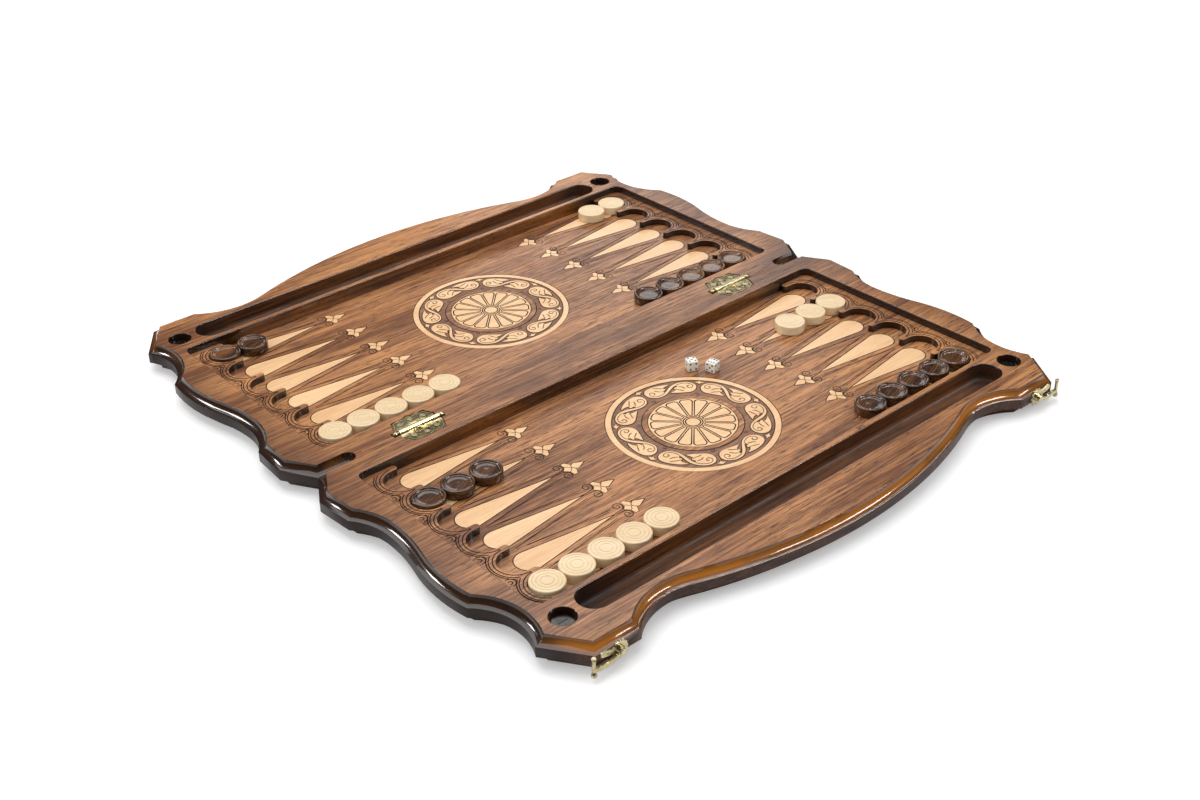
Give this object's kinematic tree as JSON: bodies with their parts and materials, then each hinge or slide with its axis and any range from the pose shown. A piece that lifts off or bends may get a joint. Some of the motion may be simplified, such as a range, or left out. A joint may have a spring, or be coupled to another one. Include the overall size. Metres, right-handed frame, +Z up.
{
  "type": "folding backgammon board",
  "caption": "Folding carved wooden backgammon board, open, with scalloped edges, inlaid points, medallions, side troughs, hinges, hook latches, checkers and dice.",
  "frame": {"origin": "middle of the open board's underside, under the hinge seam", "axes": "+X along the hinge seam to the right, +Y across the seam to the far half, +Z up from the table"},
  "size_m": [0.6018, 0.6576, 0.0279],
  "materials": {
    "walnut": "clear lacquer over walnut",
    "maple_inlay": "flush lacquered maple inlay",
    "carved_maple": "carved and lacquered",
    "light_checker": "turned, satin lacquer",
    "dark_checker": "turned, gloss lacquer",
    "antique_brass": "antique, satin",
    "nickel": "nickel plated",
    "dice": "glossy white with black pips"
  },
  "bodies": {
    "far_half": {"far_board": "walnut", "far_point_inlays_left": "maple_inlay", "far_point_inlays_right": "maple_inlay", "far_medallion": "carved_maple", "hinge_leaf_far_left": "antique_brass", "hinge_leaf_far_right": "antique_brass", "hinge_pin_left": "antique_brass", "hinge_pin_right": "antique_brass", "hinge_screws_far": "antique_brass", "ring_magnets_far": "nickel", "magnet_screws_far": "nickel", "catch_stud_left": "antique_brass", "catch_stud_right": "antique_brass"},
    "near_half": {"near_board": "walnut", "near_point_inlays_left": "maple_inlay", "near_point_inlays_right": "maple_inlay", "near_medallion": "carved_maple", "hinge_leaf_near_left": "antique_brass", "hinge_leaf_near_right": "antique_brass", "hinge_screws_near": "antique_brass", "ring_magnets_near": "nickel", "magnet_screws_near": "nickel", "latch_plate_left": "antique_brass", "latch_plate_right": "antique_brass", "latch_plate_screws": "antique_brass", "latch_rivets": "antique_brass"},
    "latch_hook_left": {"latch_hook_left": "antique_brass"},
    "latch_hook_right": {"latch_hook_right": "antique_brass"},
    "light_checker_01": {"light_checker_01": "light_checker"},
    "light_checker_02": {"light_checker_02": "light_checker"},
    "light_checker_03": {"light_checker_03": "light_checker"},
    "light_checker_04": {"light_checker_04": "light_checker"},
    "light_checker_05": {"light_checker_05": "light_checker"},
    "light_checker_06": {"light_checker_06": "light_checker"},
    "light_checker_07": {"light_checker_07": "light_checker"},
    "light_checker_08": {"light_checker_08": "light_checker"},
    "light_checker_09": {"light_checker_09": "light_checker"},
    "light_checker_10": {"light_checker_10": "light_checker"},
    "light_checker_11": {"light_checker_11": "light_checker"},
    "light_checker_12": {"light_checker_12": "light_checker"},
    "light_checker_13": {"light_checker_13": "light_checker"},
    "light_checker_14": {"light_checker_14": "light_checker"},
    "light_checker_15": {"light_checker_15": "light_checker"},
    "dark_checker_01": {"dark_checker_01": "dark_checker"},
    "dark_checker_02": {"dark_checker_02": "dark_checker"},
    "dark_checker_03": {"dark_checker_03": "dark_checker"},
    "dark_checker_04": {"dark_checker_04": "dark_checker"},
    "dark_checker_05": {"dark_checker_05": "dark_checker"},
    "dark_checker_06": {"dark_checker_06": "dark_checker"},
    "dark_checker_07": {"dark_checker_07": "dark_checker"},
    "dark_checker_08": {"dark_checker_08": "dark_checker"},
    "dark_checker_09": {"dark_checker_09": "dark_checker"},
    "dark_checker_10": {"dark_checker_10": "dark_checker"},
    "dark_checker_11": {"dark_checker_11": "dark_checker"},
    "dark_checker_12": {"dark_checker_12": "dark_checker"},
    "dark_checker_13": {"dark_checker_13": "dark_checker"},
    "dark_checker_14": {"dark_checker_14": "dark_checker"},
    "dark_checker_15": {"dark_checker_15": "dark_checker"},
    "die_left": {"die_left": "dice"},
    "die_right": {"die_right": "dice"}
  },
  "joints": [
    {"name": "board_fold", "type": "hinge", "parent": "far_half", "child": "near_half", "pos_m": [0, 0, 0.0251], "axis": [1, 0, 0], "range_deg": [-180, 0]},
    {"name": "hook_left_swing", "type": "hinge", "parent": "near_half", "child": "latch_hook_left", "pos_m": [-0.2415, -0.311, 0.0126], "axis": [0, 1, 0], "range_deg": [0, 90]},
    {"name": "hook_right_swing", "type": "hinge", "parent": "near_half", "child": "latch_hook_right", "pos_m": [0.2415, -0.311, 0.0126], "axis": [0, -1, 0], "range_deg": [0, 90]},
    {"name": "light_checker_01_lift", "type": "slide", "parent": "far_half", "child": "light_checker_01", "axis": [0, 0, 1], "range_m": [0, 0.04]},
    {"name": "light_checker_02_lift", "type": "slide", "parent": "far_half", "child": "light_checker_02", "axis": [0, 0, 1], "range_m": [0, 0.04]},
    {"name": "light_checker_03_lift", "type": "slide", "parent": "far_half", "child": "light_checker_03", "axis": [0, 0, 1], "range_m": [0, 0.04]},
    {"name": "light_checker_04_lift", "type": "slide", "parent": "far_half", "child": "light_checker_04", "axis": [0, 0, 1], "range_m": [0, 0.04]},
    {"name": "light_checker_05_lift", "type": "slide", "parent": "far_half", "child": "light_checker_05", "axis": [0, 0, 1], "range_m": [0, 0.04]},
    {"name": "light_checker_06_lift", "type": "slide", "parent": "far_half", "child": "light_checker_06", "axis": [0, 0, 1], "range_m": [0, 0.04]},
    {"name": "light_checker_07_lift", "type": "slide", "parent": "far_half", "child": "light_checker_07", "axis": [0, 0, 1], "range_m": [0, 0.04]},
    {"name": "light_checker_08_lift", "type": "slide", "parent": "near_half", "child": "light_checker_08", "axis": [0, 0, 1], "range_m": [0, 0.04]},
    {"name": "light_checker_09_lift", "type": "slide", "parent": "near_half", "child": "light_checker_09", "axis": [0, 0, 1], "range_m": [0, 0.04]},
    {"name": "light_checker_10_lift", "type": "slide", "parent": "near_half", "child": "light_checker_10", "axis": [0, 0, 1], "range_m": [0, 0.04]},
    {"name": "light_checker_11_lift", "type": "slide", "parent": "near_half", "child": "light_checker_11", "axis": [0, 0, 1], "range_m": [0, 0.04]},
    {"name": "light_checker_12_lift", "type": "slide", "parent": "near_half", "child": "light_checker_12", "axis": [0, 0, 1], "range_m": [0, 0.04]},
    {"name": "light_checker_13_lift", "type": "slide", "parent": "near_half", "child": "light_checker_13", "axis": [0, 0, 1], "range_m": [0, 0.04]},
    {"name": "light_checker_14_lift", "type": "slide", "parent": "near_half", "child": "light_checker_14", "axis": [0, 0, 1], "range_m": [0, 0.04]},
    {"name": "light_checker_15_lift", "type": "slide", "parent": "near_half", "child": "light_checker_15", "axis": [0, 0, 1], "range_m": [0, 0.04]},
    {"name": "dark_checker_01_lift", "type": "slide", "parent": "far_half", "child": "dark_checker_01", "axis": [0, 0, 1], "range_m": [0, 0.04]},
    {"name": "dark_checker_02_lift", "type": "slide", "parent": "far_half", "child": "dark_checker_02", "axis": [0, 0, 1], "range_m": [0, 0.04]},
    {"name": "dark_checker_03_lift", "type": "slide", "parent": "far_half", "child": "dark_checker_03", "axis": [0, 0, 1], "range_m": [0, 0.04]},
    {"name": "dark_checker_04_lift", "type": "slide", "parent": "far_half", "child": "dark_checker_04", "axis": [0, 0, 1], "range_m": [0, 0.04]},
    {"name": "dark_checker_05_lift", "type": "slide", "parent": "far_half", "child": "dark_checker_05", "axis": [0, 0, 1], "range_m": [0, 0.04]},
    {"name": "dark_checker_06_lift", "type": "slide", "parent": "far_half", "child": "dark_checker_06", "axis": [0, 0, 1], "range_m": [0, 0.04]},
    {"name": "dark_checker_07_lift", "type": "slide", "parent": "far_half", "child": "dark_checker_07", "axis": [0, 0, 1], "range_m": [0, 0.04]},
    {"name": "dark_checker_08_lift", "type": "slide", "parent": "near_half", "child": "dark_checker_08", "axis": [0, 0, 1], "range_m": [0, 0.04]},
    {"name": "dark_checker_09_lift", "type": "slide", "parent": "near_half", "child": "dark_checker_09", "axis": [0, 0, 1], "range_m": [0, 0.04]},
    {"name": "dark_checker_10_lift", "type": "slide", "parent": "near_half", "child": "dark_checker_10", "axis": [0, 0, 1], "range_m": [0, 0.04]},
    {"name": "dark_checker_11_lift", "type": "slide", "parent": "near_half", "child": "dark_checker_11", "axis": [0, 0, 1], "range_m": [0, 0.04]},
    {"name": "dark_checker_12_lift", "type": "slide", "parent": "near_half", "child": "dark_checker_12", "axis": [0, 0, 1], "range_m": [0, 0.04]},
    {"name": "dark_checker_13_lift", "type": "slide", "parent": "near_half", "child": "dark_checker_13", "axis": [0, 0, 1], "range_m": [0, 0.04]},
    {"name": "dark_checker_14_lift", "type": "slide", "parent": "near_half", "child": "dark_checker_14", "axis": [0, 0, 1], "range_m": [0, 0.04]},
    {"name": "dark_checker_15_lift", "type": "slide", "parent": "near_half", "child": "dark_checker_15", "axis": [0, 0, 1], "range_m": [0, 0.04]},
    {"name": "die_left_lift", "type": "slide", "parent": "near_half", "child": "die_left", "axis": [0, 0, 1], "range_m": [0, 0.04]},
    {"name": "die_right_lift", "type": "slide", "parent": "near_half", "child": "die_right", "axis": [0, 0, 1], "range_m": [0, 0.04]}
  ]
}
